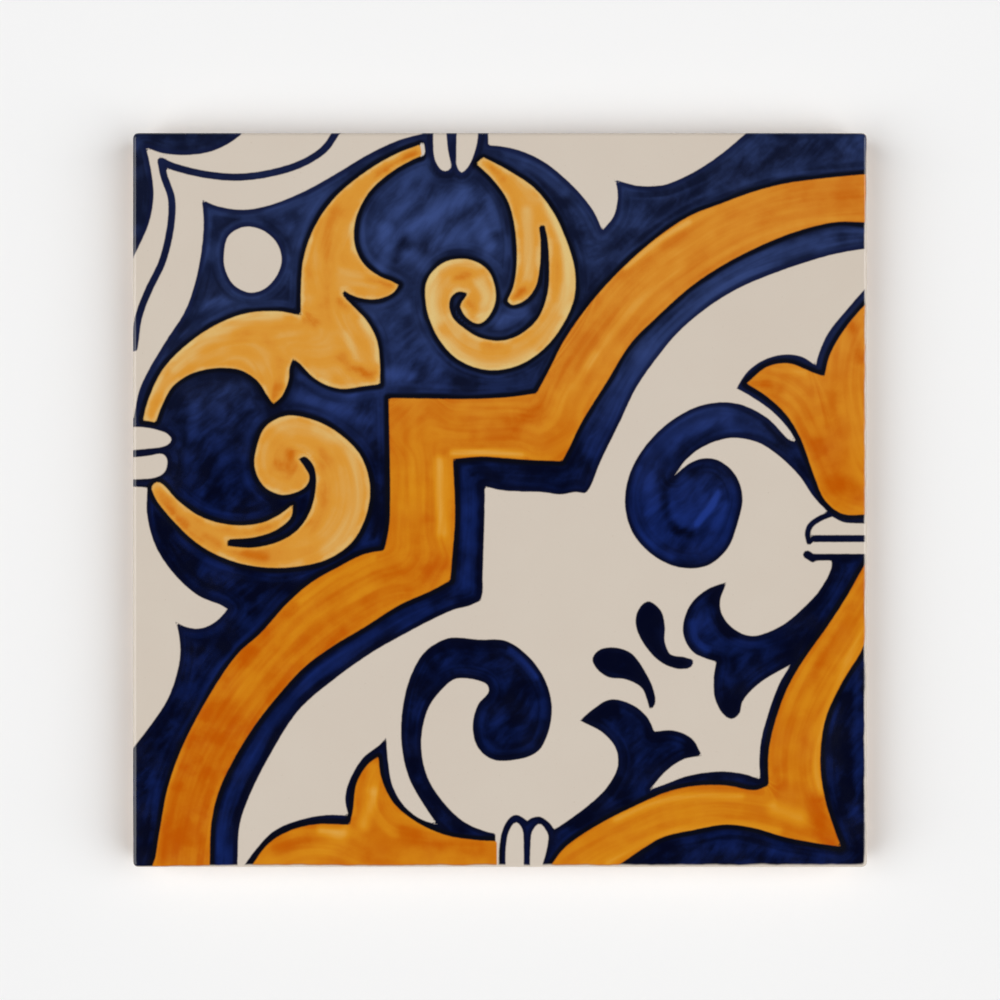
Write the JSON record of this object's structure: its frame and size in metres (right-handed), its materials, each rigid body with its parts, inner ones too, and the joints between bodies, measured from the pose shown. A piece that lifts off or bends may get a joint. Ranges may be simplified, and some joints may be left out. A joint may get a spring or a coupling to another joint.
{
  "type": "azulejo tile",
  "caption": "Square glazed earthenware wall tile with a hand-painted blue and yellow pattern, a rounded face rim, sides that lean in and a grooved back for mortar.",
  "frame": {"origin": "middle of the back, in the plane of its lands", "axes": "+Z out of the glazed face, +X and +Y along the sides, keying grooves along Y; the quarter flower of the pattern is at +X -Y"},
  "size_m": [0.14, 0.14, 0.008],
  "materials": {
    "glazed_earthenware": "glossy tin glaze painted in cobalt blue, ochre yellow and dark line, over a bare buff earthenware back"
  },
  "bodies": {
    "root": {"tile": "glazed_earthenware"}
  },
  "joints": []
}
